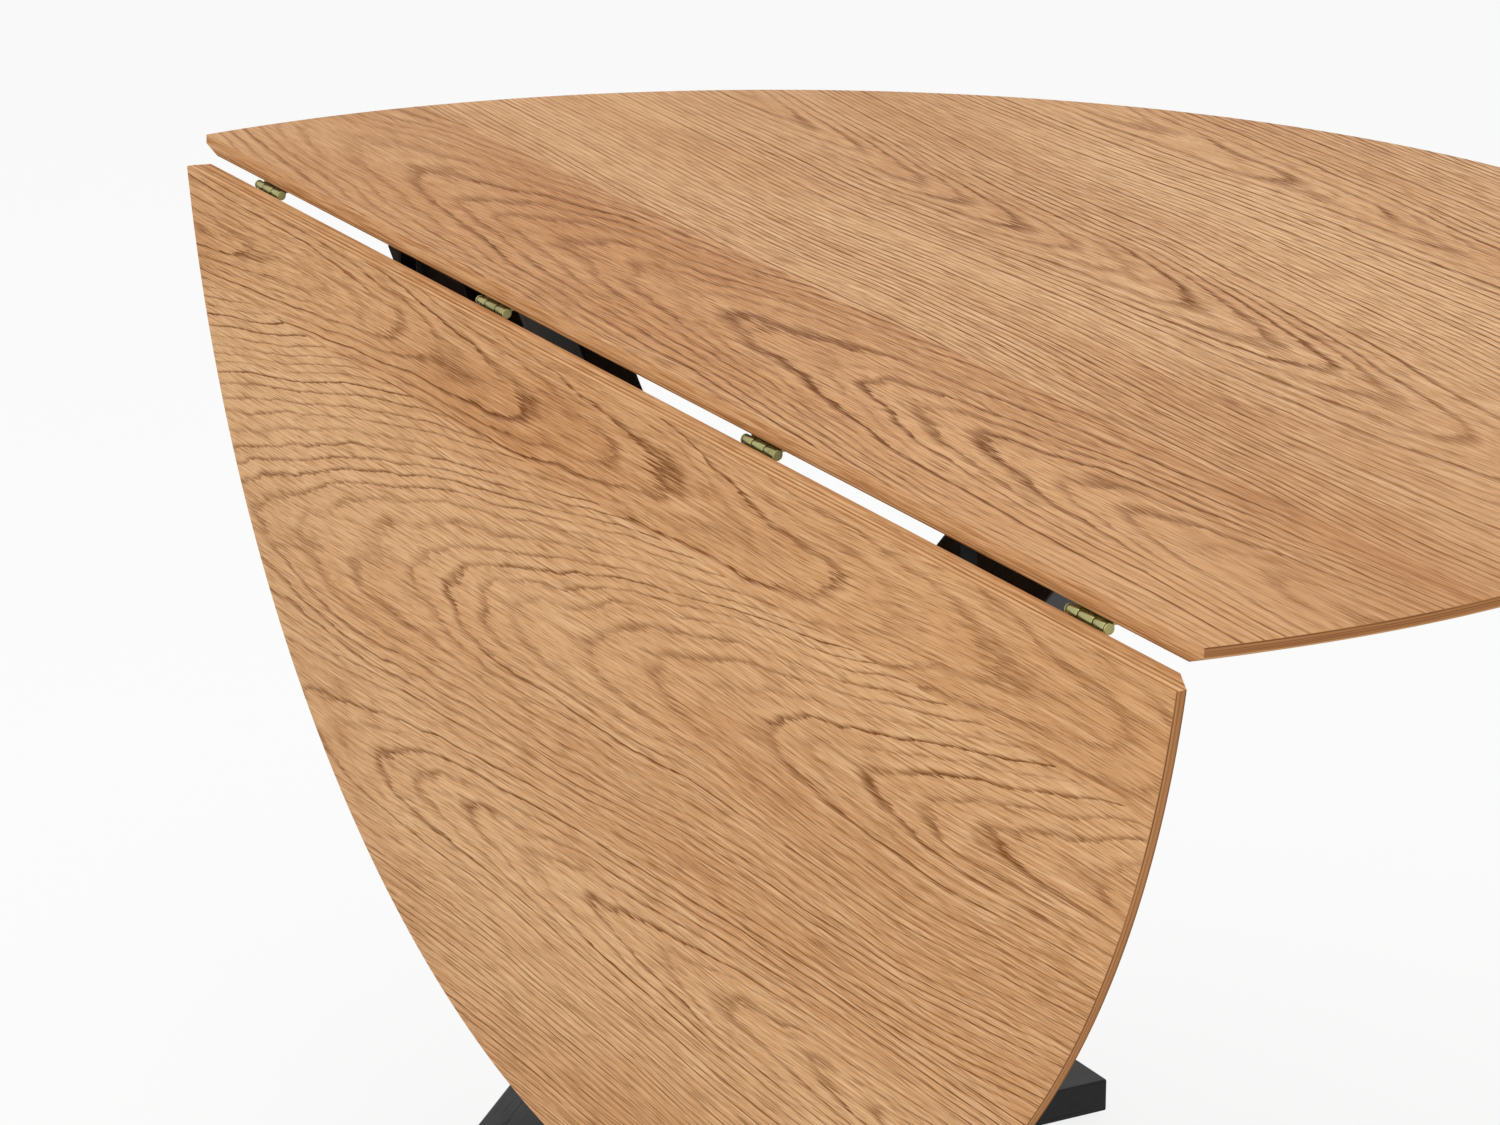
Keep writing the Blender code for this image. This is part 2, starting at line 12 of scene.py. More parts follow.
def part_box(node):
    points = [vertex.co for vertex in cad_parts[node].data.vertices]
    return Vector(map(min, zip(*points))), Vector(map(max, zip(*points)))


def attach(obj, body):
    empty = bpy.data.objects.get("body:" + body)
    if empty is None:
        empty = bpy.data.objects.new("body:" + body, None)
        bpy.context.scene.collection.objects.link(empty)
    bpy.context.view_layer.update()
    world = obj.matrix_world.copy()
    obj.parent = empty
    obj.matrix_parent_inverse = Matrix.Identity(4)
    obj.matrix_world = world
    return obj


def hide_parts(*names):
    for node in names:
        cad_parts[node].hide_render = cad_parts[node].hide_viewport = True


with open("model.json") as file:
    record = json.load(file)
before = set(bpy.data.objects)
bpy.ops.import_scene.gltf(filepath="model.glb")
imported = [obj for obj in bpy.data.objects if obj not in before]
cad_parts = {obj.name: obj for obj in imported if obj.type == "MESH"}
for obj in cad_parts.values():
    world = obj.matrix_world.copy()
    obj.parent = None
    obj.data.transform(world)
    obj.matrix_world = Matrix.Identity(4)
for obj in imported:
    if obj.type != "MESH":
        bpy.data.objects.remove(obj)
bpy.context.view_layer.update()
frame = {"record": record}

# The camera stands off the table's right front corner with a long lens and looks down on the top.
# Its place and turn were fitted to the outlines of both panels, the seam and the hinges.
CAMERA_SPOT = (2.6261, -1.5768, 1.5847)
CAMERA_PITCH = math.radians(71.774)
CAMERA_YAW = math.radians(61.034)
CAMERA_LENS = 120.43
CAMERA_SENSOR = 36.0

lens = bpy.data.cameras.new("photo_camera")
lens.lens = CAMERA_LENS
lens.sensor_width = CAMERA_SENSOR
camera = bpy.data.objects.new("photo_camera", lens)
camera.location = CAMERA_SPOT
camera.rotation_euler = (CAMERA_PITCH, 0, CAMERA_YAW)
bpy.context.scene.collection.objects.link(camera)
bpy.context.scene.camera = camera


# The top is a disc of oak-faced plywood sawn along a chord into the main panel and the leaf.
# Its rim is upright above and planed back below, and every arris is rubbed over with fine paper.
# Both faces are flat-sliced oak with the grain along the seam, under a clear satin lacquer.
RIM_STEPS = 720
RIM_UPRIGHT = 0.0064
RIM_UNDERCUT = 0.0156
MAIN_EDGE_LEAN = 0.0013
LEAF_EDGE_LEAN = 0.0033
ARRIS = 0.0004
ARRIS_ANGLE = 20
PANEL_SHARP_ANGLE = 50
BEVEL_STEPS = 2
FACE_FINISH = 0
RIM_FINISH = 1
SEAM_FINISH = 2
VENEER_PALE = (0.728, 0.418, 0.200, 1)
VENEER_MID = (0.608, 0.316, 0.136, 1)
VENEER_RED = (0.440, 0.185, 0.065, 1)
VENEER_DARK = (0.226, 0.080, 0.014, 1)
VENEER_PORE = (0.155, 0.050, 0.010, 1)
VENEER_GLEAM = (0.875, 0.575, 0.325, 1)
VENEER_STAIN = (0.800, 0.660, 0.520, 1)

# Each slice of veneer starts some way from the seam. Its crown, the middle of its arches, drifts along the
# grain by a tilt. The pith lies at a depth under it that changes along the grain by a slope, so the arches
# point one way. Wander is how wild the figure is, and warmth how red the slice is.
Slice = namedtuple("Slice", "start crown tilt depth slope wander warmth")
MAIN_SLICES = (
    Slice(start=0.000, crown=0.094, tilt=0.00, depth=0.085, slope=-0.065, wander=0.014, warmth=0.62),
    Slice(start=0.174, crown=0.364, tilt=-0.07, depth=0.050, slope=0.065, wander=0.009, warmth=0.00),
    Slice(start=0.499, crown=0.589, tilt=-0.05, depth=0.045, slope=0.030, wander=0.014, warmth=0.00),
)
LEAF_SLICES = (
    Slice(start=0.000, crown=0.040, tilt=0.00, depth=0.050, slope=0.055, wander=0.014, warmth=0.40),
    Slice(start=0.080, crown=0.180, tilt=-0.10, depth=0.080, slope=-0.070, wander=0.013, warmth=0.08),
    Slice(start=0.295, crown=0.350, tilt=0.00, depth=0.035, slope=-0.060, wander=0.014, warmth=0.00),
)

# A pattern is noise with so many features along and across the grain. Its salt keeps it unlike the others.
Pattern = namedtuple("Pattern", "along across salt detail roughness", defaults=(2.0, 0.5))

# A layer of colour shows where its pattern goes from one level to another, up to a share.
Layer = namedtuple("Layer", "start end share colour")

main_low, main_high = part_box("main_panel")
leaf_low, leaf_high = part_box("leaf_panel")
top_radius = main_high.x
top_thick = main_high.z - main_low.z
centre_y = main_high.y - top_radius
leaf_centre_z = leaf_low.z + top_radius


class Wire:
    """A shader socket that can stand in a sum. Each operator adds one Math node to its finish."""

    def __init__(self, finish, socket):
        self.finish = finish
        self.socket = socket

    def __add__(self, other):
        return self.finish.maths("ADD", self, other)

    def __sub__(self, other):
        return self.finish.maths("SUBTRACT", self, other)

    def __rsub__(self, other):
        return self.finish.maths("SUBTRACT", other, self)

    def __mul__(self, other):
        return self.finish.maths("MULTIPLY", self, other)

    def __truediv__(self, other):
        return self.finish.maths("DIVIDE", self, other)

    __radd__ = __add__
    __rmul__ = __mul__


class Finish:
    """A material being made up, from the Principled shader that it starts with."""

    def __init__(self, name, fixed=None):
        self.material = bpy.data.materials.new(name)
        self.material.use_nodes = True
        self.tree = self.material.node_tree
        self.shader = self.tree.nodes["Principled BSDF"]
        for title, value in (fixed or {}).items():
            self.shader.inputs[title].default_value = value
        self.place = self.add("ShaderNodeTexCoord")[3]
        self.x, self.y, self.z = self.add("ShaderNodeSeparateXYZ", sockets={0: self.place})

    def add(self, kind, settings=None, sockets=None):
        """Adds a node, sets it up, then fills its sockets from values or wires. Returns its outputs."""
        node = self.tree.nodes.new(kind)
        for key, value in (settings or {}).items():
            setattr(node, key, value)
        for key, value in (sockets or {}).items():
            if isinstance(value, Wire):
                self.tree.links.new(value.socket, node.inputs[key])
            else:
                node.inputs[key].default_value = value
        return [Wire(self, socket) for socket in node.outputs]

    def maths(self, operation, first, second=0.0):
        """One Math node on two wires or numbers."""
        return self.add("ShaderNodeMath", {"operation": operation}, {0: first, 1: second})[0]

    def noise(self, along, across, through=0.0, detail=2.0, roughness=0.5):
        """Noise from 0 to 1 on a place given as three wires or numbers, one unit to a feature."""
        spot = self.add("ShaderNodeCombineXYZ", sockets={0: along, 1: across, 2: through})[0]
        sockets = {"Vector": spot, "Scale": 1.0, "Detail": detail, "Roughness": roughness}
        return self.add("ShaderNodeTexNoise", sockets=sockets)[0]

    def grain(self, pattern, along, across, seed):
        """A pattern's noise, from 0 to 1, at a place along and across the grain."""
        along = along * pattern.along
        across = across * pattern.across
        return self.noise(along, across, seed + pattern.salt, pattern.detail, pattern.roughness)

    def swing(self, pattern, along, across, seed):
        """A pattern's noise about zero, from -0.5 to 0.5."""
        return self.grain(pattern, along, across, seed) - 0.5

    def speckle(self, counts, detail=2.0, roughness=0.5):
        """Noise from 0 to 1 through the solid, with so many features per metre along X, Y and Z."""
        spot = [wire * count for wire, count in zip((self.x, self.y, self.z), counts)]
        return self.noise(*spot, detail, roughness)

    def chance(self, number):
        """A value from 0 to 1 that goes with a whole number."""
        return self.add("ShaderNodeTexWhiteNoise", {"noise_dimensions": "1D"}, {"W": number})[0]

    def ramp(self, value, start, end, low=0.0, high=1.0):
        """A smooth step from low to high as the value goes from start to end."""
        sockets = {0: value, 1: start, 2: end, 3: low, 4: high}
        return self.add("ShaderNodeMapRange", {"interpolation_type": "SMOOTHSTEP"}, sockets)[0]

    def fall(self, value, start, end):
        """A smooth step from 1 to 0 as the value goes from start to end."""
        return self.ramp(value, start, end, 1.0, 0.0)

    def blend(self, share, first, second, kind="MIX"):
        """A colour between two, or with another kind of blend one laid over the other."""
        settings = {"data_type": "RGBA", "blend_type": kind}
        return self.add("ShaderNodeMix", settings, {0: share, 6: first, 7: second})[2]

    def lay(self, ground, layer, level, strength=1.0):
        """Lays a layer of colour on a ground, where the level of its pattern calls for it."""
        share = self.ramp(level, layer.start, layer.end) * (strength * layer.share)
        return self.blend(share, ground, layer.colour)

    def feed(self, title, wire):
        """Sends a wire to one of the shader's inputs."""
        self.tree.links.new(wire.socket, self.shader.inputs[title])

    def relief(self, height, depth, strength=1.0):
        """Bumps the surface by a height from 0 to 1 of the given depth."""
        sockets = {"Strength": strength, "Distance": depth, "Height": height}
        self.feed("Normal", self.add("ShaderNodeBump", sockets=sockets)[0])


OAK_DRIFT = Pattern(along=1.6, across=2.5, salt=0, detail=1.0)
OAK_DRIFT_BEND = 0.05
OAK_SWAY = Pattern(along=6, across=14, salt=5)
OAK_SWAY_BEND = 0.006
OAK_WANDER = Pattern(along=6, across=16, salt=7, detail=3.0, roughness=0.55)
OAK_FIBRE = Pattern(along=18, across=800, salt=9, roughness=0.6)
CROWN_COMBING = 0.85
FLANK_COMBING = 0.05
RING_SPACING = 0.0050
RING_WIDTHS = Pattern(along=42, across=0, salt=0, detail=1.0)
RING_UNEVENNESS = 1.6
LINE_START = 0.06
LINE_WIDENING = 0.16
SHINE_PEAK = 0.50
SHINE_END = 0.75
FAINTEST_RING = 0.3
RING_SPREAD = 0.8
RING_FADE = Pattern(along=4, across=45, salt=13, detail=1.0)
FADE_FROM = 0.32
FADE_TO = 0.62
FADED_SHARE = 0.50
CROWN_FAINTNESS = 0.38


def flat_sliced_oak(finish, along, across, slices, width, seed):
    """Oak sliced at a slant to its rings: arches along each crown, and straight lines beside them.

    Returns the place across the grain, bent as the fibres are, how dark each point's early wood and how
    bright its late wood is, and how red its slice is."""
    gates = [finish.maths("GREATER_THAN", across, piece.start) for piece in slices[1:]]

    def trait(name):
        """One of the slices' values, as a wire that holds each slice's own."""
        values = [getattr(piece, name) for piece in slices]
        wire = values[0]
        for gate, before, after in zip(gates, values, values[1:]):
            wire = gate * (after - before) + wire
        return wire

    drift = finish.swing(OAK_DRIFT, along, across, seed)
    sway = finish.swing(OAK_SWAY, along, across, seed)
    side = across + drift * OAK_DRIFT_BEND + sway * OAK_SWAY_BEND
    aside = side - trait("crown") - along * trait("tilt")
    wander = finish.swing(OAK_WANDER, along, across, seed)
    pith = along * trait("slope") + trait("depth") + wander * trait("wander")
    square = aside * aside + pith * pith
    reach = finish.maths("SQRT", square)
    graze = pith * pith / square
    crown = graze * graze
    fibre = finish.swing(OAK_FIBRE, along, side, seed)
    widths = finish.swing(RING_WIDTHS, reach, 0.0, seed)
    combing = crown * CROWN_COMBING + FLANK_COMBING
    rings = reach / RING_SPACING + widths * RING_UNEVENNESS + fibre * combing
    number = finish.maths("FLOOR", rings)
    year = rings - number
    line_end = crown * LINE_WIDENING + width
    line = finish.ramp(year, 0.0, LINE_START) * finish.fall(year, LINE_START, line_end)
    shine = finish.ramp(year, width, SHINE_PEAK) * finish.fall(year, SHINE_PEAK, SHINE_END)
    vigour = finish.chance(number + seed) * RING_SPREAD + FAINTEST_RING
    fade = finish.grain(RING_FADE, along, side, seed)
    strength = vigour * finish.ramp(fade, FADE_FROM, FADE_TO, FADED_SHARE) * (1 - graze * CROWN_FAINTNESS)
    return side, line * strength, shine * strength, trait("warmth")


OAK_GLOSS = 0.06
OAK_ROUGHNESS = 0.46
OAK_RELIEF = 0.00012
# Where the figure fades toward the ends of the main top. At the right end this fade is a painted haze of
# glare on the lacquer.
CALM_LEFT = -0.60
LIVE_LEFT = -0.15
LIVE_RIGHT = 0.20
OAK_TONE = Pattern(along=1.2, across=4.5, salt=23)
PALE_TONE = Layer(start=0.32, end=0.68, share=1.0, colour=VENEER_PALE)
OAK_HAIRS = Pattern(along=12, across=600, salt=31, roughness=0.65)
PALE_HAIRS = Layer(start=0.50, end=0.66, share=0.55, colour=VENEER_GLEAM)
DARK_HAIRS = Layer(start=0.48, end=0.32, share=0.48, colour=VENEER_DARK)
OAK_DASHES = Pattern(along=34, across=1300, salt=17, roughness=0.6)
# The pale flecks in the dash pattern are painted glints: light off the grain, laid into the colour.
PAINTED_GLINT_FLECKS = Layer(start=0.46, end=0.32, share=0.50, colour=VENEER_GLEAM)
PORES_FROM = 0.53
PORES_TO = 0.68
PORES_IN_EARLY_WOOD = 0.12
PORE_SHARE = 0.55
EARLY_WOOD_SHARE = 1.60
LATE_WOOD_SHARE = 0.40
OAK_BLUSH = Pattern(along=1.7, across=9, salt=29)
BLUSH_FROM = 0.44
BLUSH_TO = 0.70
BLUSH_SHARE = 0.5
EARLY_WOOD_ROUGHNESS = 0.10
EARLY_WOOD_DEPTH = 0.2
PORE_ROUGHNESS = 0.15
PORE_DEPTH = 0.8


def oak_face(name, axis, seam, away, slices, width, contrast, calm, seed):
    """The show face of a panel, with the grain along X. away is the way from the seam along the axis.

    width is how much of a ring its dark line takes. contrast is how strongly lines and streaks show, and
    calm the share of it, and of each slice's redness, that is left at both ends."""
    finish = Finish(name, {"Specular IOR Level": OAK_GLOSS})
    across = (getattr(finish, axis) - seam) * away
    # Lines, streaks and redness fade toward both ends of the top. At the right end this paints a haze of
    # glare.
    middle = finish.ramp(finish.x, CALM_LEFT, LIVE_LEFT) * finish.fall(finish.x, LIVE_RIGHT, top_radius)
    liveness = middle * (1 - calm) + calm
    contrast = liveness * contrast
    side, early, late, warmth = flat_sliced_oak(finish, finish.x, across, slices, width, seed)
    tone = finish.grain(OAK_TONE, finish.x, side, seed)
    blush = finish.grain(OAK_BLUSH, finish.x, side, seed)
    hairs = finish.grain(OAK_HAIRS, finish.x, side, seed)
    dashes = finish.grain(OAK_DASHES, finish.x, side, seed)
    pores = finish.ramp(dashes + early * PORES_IN_EARLY_WOOD, PORES_FROM, PORES_TO)
    ground = finish.lay(VENEER_MID, PALE_TONE, tone)
    ground = finish.blend(late * contrast * LATE_WOOD_SHARE, ground, VENEER_GLEAM)
    ground = finish.lay(ground, PALE_HAIRS, hairs, contrast)
    ground = finish.lay(ground, DARK_HAIRS, hairs, contrast)
    ground = finish.blend(early * contrast * EARLY_WOOD_SHARE, ground, VENEER_DARK)
    # Lays the painted glints, pale flecks of light between the pores.
    ground = finish.lay(ground, PAINTED_GLINT_FLECKS, dashes, contrast)
    ground = finish.blend(pores * contrast * PORE_SHARE, ground, VENEER_PORE)
    redness = finish.ramp(blush, BLUSH_FROM, BLUSH_TO) * BLUSH_SHARE + warmth * liveness
    finish.feed("Base Color", finish.blend(redness, ground, VENEER_STAIN, "MULTIPLY"))
    finish.feed("Roughness", OAK_ROUGHNESS + early * EARLY_WOOD_ROUGHNESS + pores * PORE_ROUGHNESS)
    finish.relief(1 - pores * PORE_DEPTH - early * EARLY_WOOD_DEPTH, OAK_RELIEF)
    return finish.material


EDGE_ROUGHNESS = 0.5
EDGE_RELIEF = 0.0001
EDGE_WAVER = Pattern(along=3, across=0, salt=0, detail=1.0)
EDGE_WAVER_BEND = 0.05
EDGE_FADE = Pattern(along=7, across=0, salt=5)
EDGE_FADE_FROM = 0.35
EDGE_FADE_TO = 0.55
EDGE_FADED_SHARE = 0.4
EDGE_SEED_STEP = 11

# A line along an edge lies at a share of its depth, and its width is a share of it too.
EdgeLine = namedtuple("EdgeLine", "spot width colour strength")


def edge_lines(finish, ground, depth, along, lines, seed):
    """Draws lines along an edge, each wavering a little and fading here and there."""
    waver = finish.swing(EDGE_WAVER, along, 0.0, seed)
    for count, line in enumerate(lines):
        gap = depth + waver * EDGE_WAVER_BEND - line.spot
        shown = finish.ramp(gap * gap, 0.0, line.width * line.width, line.strength, 0.0)
        fade = finish.grain(EDGE_FADE, along, 0.0, seed + EDGE_SEED_STEP * count)
        share = shown * finish.ramp(fade, EDGE_FADE_FROM, EDGE_FADE_TO, EDGE_FADED_SHARE)
        ground = finish.blend(share, ground, line.colour)
    return ground


PLY_COUNT = 7
PLY_LONG = (0.550, 0.250, 0.095, 1)
PLY_END = (0.400, 0.165, 0.058, 1)
PLY_GLUE_AND_SHADE = (0.190, 0.070, 0.023, 1)
PLY_WAVER = Pattern(along=5, across=2, salt=0)
PLY_WAVER_BEND = 0.5
PLY_STREAKS = Pattern(along=4, across=16, salt=4, detail=3.0, roughness=0.65)
PLY_HAIRS = Pattern(along=16, across=36, salt=9, roughness=0.6)
END_PLIES = Layer(start=0.2, end=0.9, share=0.6, colour=PLY_END)
GLUE_STREAKS = Layer(start=0.48, end=0.66, share=0.6, colour=PLY_GLUE_AND_SHADE)
PLY_PALE_HAIRS = Layer(start=0.52, end=0.68, share=0.6, colour=VENEER_MID)
PLY_HAIR_ROUGHNESS = 0.2
PLY_STREAK_DEPTH = 0.6


def ply_edge(name, depth_axis, top_at, down, turn_axis, turn_centre, lines, seed):
    """The rim: plies seen edge on, in long streaks, with lines along it: lines between the plies, and on the
    main top a painted shadow line under the top arris.
    """
    finish = Finish(name, {"Specular IOR Level": OAK_GLOSS})
    depth = (getattr(finish, depth_axis) - top_at) * (down / top_thick)
    across = getattr(finish, turn_axis) - turn_centre
    turn = finish.maths("ARCTAN2", across, finish.x) * top_radius
    plies = depth * PLY_COUNT + finish.swing(PLY_WAVER, turn, depth, seed) * PLY_WAVER_BEND
    number = finish.maths("FLOOR", plies)
    streaks = finish.grain(PLY_STREAKS, turn, depth, seed)
    hairs = finish.grain(PLY_HAIRS, turn, depth, seed)
    ground = finish.lay(PLY_LONG, END_PLIES, finish.chance(number + seed))
    ground = finish.lay(ground, GLUE_STREAKS, streaks)
    ground = finish.lay(ground, PLY_PALE_HAIRS, hairs)
    finish.feed("Base Color", edge_lines(finish, ground, depth, turn, lines, seed))
    finish.feed("Roughness", EDGE_ROUGHNESS + hairs * PLY_HAIR_ROUGHNESS)
    finish.relief(1 - streaks * PLY_STREAK_DEPTH, EDGE_RELIEF)
    return finish.material


SEAM_DRIFT = Pattern(along=2.5, across=0.4, salt=0)
SEAM_DRIFT_BEND = 0.6
SEAM_BANDS = Pattern(along=2.4, across=3.5, salt=3, roughness=0.6)
SEAM_FLAMES = Pattern(along=9, across=4.5, salt=7, detail=3.0, roughness=0.6)
SEAM_HAIRS = Pattern(along=22, across=13, salt=9, roughness=0.6)
FLAMES_FROM = 0.48
FLAMES_TO = 0.62
FLAME_SHARE = 0.6
MID_BANDS = Layer(start=0.36, end=0.64, share=1.0, colour=VENEER_MID)
SEAM_PALE_HAIRS = Layer(start=0.48, end=0.34, share=0.45, colour=VENEER_GLEAM)
SEAM_DARK_HAIRS = Layer(start=0.52, end=0.68, share=0.50, colour=VENEER_DARK)
SEAM_HAIR_ROUGHNESS = 0.15


def seam_edge(name, depth_axis, top_at, down, warmth, lines, seed):
    """The sawn edge along the seam: long grain that runs with it, brown flames, and a few lines."""
    finish = Finish(name, {"Specular IOR Level": OAK_GLOSS})
    depth = (getattr(finish, depth_axis) - top_at) * (down / top_thick)
    side = depth + finish.swing(SEAM_DRIFT, finish.x, depth, seed) * SEAM_DRIFT_BEND
    bands = finish.grain(SEAM_BANDS, finish.x, side, seed)
    flames = finish.grain(SEAM_FLAMES, finish.x, side, seed)
    hairs = finish.grain(SEAM_HAIRS, finish.x, side, seed)
    redness = finish.ramp(flames, FLAMES_FROM, FLAMES_TO) * FLAME_SHARE + warmth
    ground = finish.lay(VENEER_PALE, MID_BANDS, bands)
    ground = finish.blend(redness, ground, VENEER_RED)
    ground = finish.lay(ground, SEAM_PALE_HAIRS, hairs)
    ground = finish.lay(ground, SEAM_DARK_HAIRS, hairs)
    finish.feed("Base Color", edge_lines(finish, ground, depth, finish.x, lines, seed))
    finish.feed("Roughness", EDGE_ROUGHNESS + hairs * SEAM_HAIR_ROUGHNESS)
    finish.relief(1 - hairs, EDGE_RELIEF)
    return finish.material


def final_mesh(piece):
    """The mesh that a piece has after its modifiers."""
    bpy.context.view_layer.update()
    return bpy.data.meshes.new_from_object(piece.evaluated_get(bpy.context.evaluated_depsgraph_get()))


def made_plain(piece):
    """Applies a piece's modifiers for good. Returns its new mesh."""
    mesh = final_mesh(piece)
    mesh.name = piece.name
    piece.modifiers.clear()
    piece.data = mesh
    return mesh


def add_bevel(piece, width, angle):
    """Gives a piece rounded edges wherever its faces meet at more than an angle."""
    bevel = piece.modifiers.new("eased", "BEVEL")
    bevel.width = width
    bevel.segments = BEVEL_STEPS
    bevel.limit_method = "ANGLE"
    bevel.angle_limit = math.radians(angle)


def smoothed(piece, angle):
    """Applies a piece's modifiers, keeps its corners sharp, and leans its shading to the large faces."""
    mesh = made_plain(piece)
    mesh.shade_smooth()
    mesh.set_sharp_from_angle(angle=math.radians(angle))
    lean = piece.modifiers.new("flat_faces", "WEIGHTED_NORMAL")
    lean.keep_sharp = True
    made_plain(piece)
    return piece


def add_piece(name, mesh, body, slot, *nodes):
    """Adds a mesh as a piece that moves with a body and stands for the CAD nodes it replaces."""
    piece = bpy.data.objects.new(name, mesh)
    bpy.context.scene.collection.objects.link(piece)
    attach(piece, body)
    if nodes:
        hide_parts(*nodes)
    return piece


def mesh_of(name, shape):
    """Turns a shape into a mesh, and frees it."""
    mesh = bpy.data.meshes.new(name)
    shape.to_mesh(mesh)
    shape.free()
    return mesh


def pushed_out(shape, face, move, keep_face=False):
    """Extrudes a face of a shape along a move, and turns all faces outwards."""
    made = bmesh.ops.extrude_face_region(shape, geom=[face], use_keep_orig=keep_face)["geom"]
    corners = [item for item in made if isinstance(item, bmesh.types.BMVert)]
    bmesh.ops.translate(shape, vec=move, verts=corners)
    bmesh.ops.recalc_face_normals(shape, faces=shape.faces)


def sawn_disc(name, seam, lean, keep, stand, finishes):
    """A disc lying in XY with its face at zero, sawn near y = seam and then moved by a matrix.

    keep +1 leaves the rear of it, and -1 the front."""
    lower = top_thick - RIM_UPRIGHT
    shape = bmesh.new()
    bmesh.ops.create_cone(
        shape,
        cap_ends=True,
        segments=RIM_STEPS,
        radius1=top_radius - RIM_UNDERCUT,
        radius2=top_radius,
        depth=lower,
        matrix=Matrix.Translation((0, 0, lower / 2 - top_thick)),
    )
    faces = [patch for patch in shape.faces if len(patch.verts) == RIM_STEPS]
    upper_face = max(faces, key=lambda patch: patch.calc_center_median().z)
    pushed_out(shape, upper_face, (0, 0, RIM_UPRIGHT))
    for patch in shape.faces:
        patch.material_index = FACE_FINISH if len(patch.verts) == RIM_STEPS else RIM_FINISH
    disc = bpy.data.objects.new(name + "_disc", mesh_of(name + "_disc", shape))

    shape = bmesh.new()
    saw_end = seam - keep * 2 * top_radius
    saw_bottom = -2 * top_thick + RIM_UPRIGHT
    profile = (
        (seam, top_thick),
        (seam, -RIM_UPRIGHT),
        (seam + 2 * lean, saw_bottom),
        (saw_end, saw_bottom),
        (saw_end, top_thick),
    )
    section = shape.faces.new([shape.verts.new((-2 * top_radius, y, z)) for y, z in profile])
    pushed_out(shape, section, (4 * top_radius, 0, 0), keep_face=True)
    for patch in shape.faces:
        patch.material_index = SEAM_FINISH
    saw = bpy.data.objects.new(name + "_saw", mesh_of(name + "_saw", shape))

    for tool in (disc, saw):
        bpy.context.scene.collection.objects.link(tool)
        for finish in finishes:
            tool.data.materials.append(finish)
    cut = disc.modifiers.new("sawn", "BOOLEAN")
    cut.operation = "DIFFERENCE"
    cut.object = saw
    cut.material_mode = "INDEX"
    mesh = final_mesh(disc)
    bpy.data.objects.remove(disc)
    bpy.data.objects.remove(saw)
    mesh.transform(stand)
    return mesh


def panel(name, mesh, body, node):
    """One part of the top, with its arrises rubbed over."""
    piece = add_piece(name, mesh, body, "oak", node)
    add_bevel(piece, ARRIS, ARRIS_ANGLE)
    return smoothed(piece, PANEL_SHARP_ANGLE)


# The first line, just under the top arris, is a painted shadow line in the glue colour. The other lines run
# along the plies.
main_rim_lines = (
    EdgeLine(0.05, 0.04, PLY_GLUE_AND_SHADE, 0.85),
    EdgeLine(0.20, 0.03, PLY_GLUE_AND_SHADE, 0.60),
    EdgeLine(0.33, 0.03, PLY_GLUE_AND_SHADE, 0.50),
    EdgeLine(0.48, 0.05, VENEER_PALE, 0.70),
)
main_seam_lines = (
    EdgeLine(0.80, 0.06, VENEER_DARK, 0.70),
    EdgeLine(0.95, 0.06, VENEER_DARK, 0.80),
)
main_finishes = (
    oak_face(
        "main_oak_face", "y", main_low.y, 1, MAIN_SLICES, width=0.38, contrast=1.20, calm=0.55, seed=2.0
    ),
    ply_edge("main_ply_edge", "z", main_high.z, -1, "y", centre_y, main_rim_lines, seed=1.0),
    seam_edge("main_seam_edge", "z", main_high.z, -1, warmth=0.30, lines=main_seam_lines, seed=3.0),
)
main_seam = main_low.y - centre_y
flat_stand = Matrix.Translation((0, centre_y, main_high.z))
main_disc = sawn_disc("main_top", main_seam, MAIN_EDGE_LEAN, 1, flat_stand, main_finishes)
panel("main_top", main_disc, "frame", "main_panel")

leaf_rim_lines = (
    EdgeLine(0.05, 0.04, PLY_GLUE_AND_SHADE, 0.85),
    EdgeLine(0.14, 0.03, VENEER_PALE, 0.45),
    EdgeLine(0.24, 0.03, PLY_GLUE_AND_SHADE, 0.50),
    EdgeLine(0.48, 0.05, PLY_GLUE_AND_SHADE, 0.85),
)
leaf_seam_lines = (
    EdgeLine(0.08, 0.06, VENEER_DARK, 0.55),
    EdgeLine(0.27, 0.08, VENEER_GLEAM, 0.70),
    EdgeLine(0.45, 0.07, VENEER_DARK, 0.70),
    EdgeLine(0.64, 0.06, VENEER_DARK, 0.55),
    EdgeLine(0.93, 0.12, VENEER_RED, 0.70),
)
leaf_finishes = (
    oak_face(
        "leaf_oak_face", "z", leaf_high.z, -1, LEAF_SLICES, width=0.26, contrast=0.95, calm=1.0, seed=6.0
    ),
    ply_edge("leaf_ply_edge", "y", leaf_low.y, 1, "z", leaf_centre_z, leaf_rim_lines, seed=21.0),
    seam_edge("leaf_seam_edge", "y", leaf_low.y, 1, warmth=0.05, lines=leaf_seam_lines, seed=8.0),
)
leaf_seam = leaf_high.z - LEAF_EDGE_LEAN - leaf_centre_z
hanging_stand = Matrix.Translation((0, leaf_low.y, leaf_centre_z)) @ Matrix.Rotation(math.pi / 2, 4, "X")
leaf_disc = sawn_disc("drop_leaf", leaf_seam, LEAF_EDGE_LEAN, -1, hanging_stand, leaf_finishes)
panel("drop_leaf", leaf_disc, "leaf", "leaf_panel")


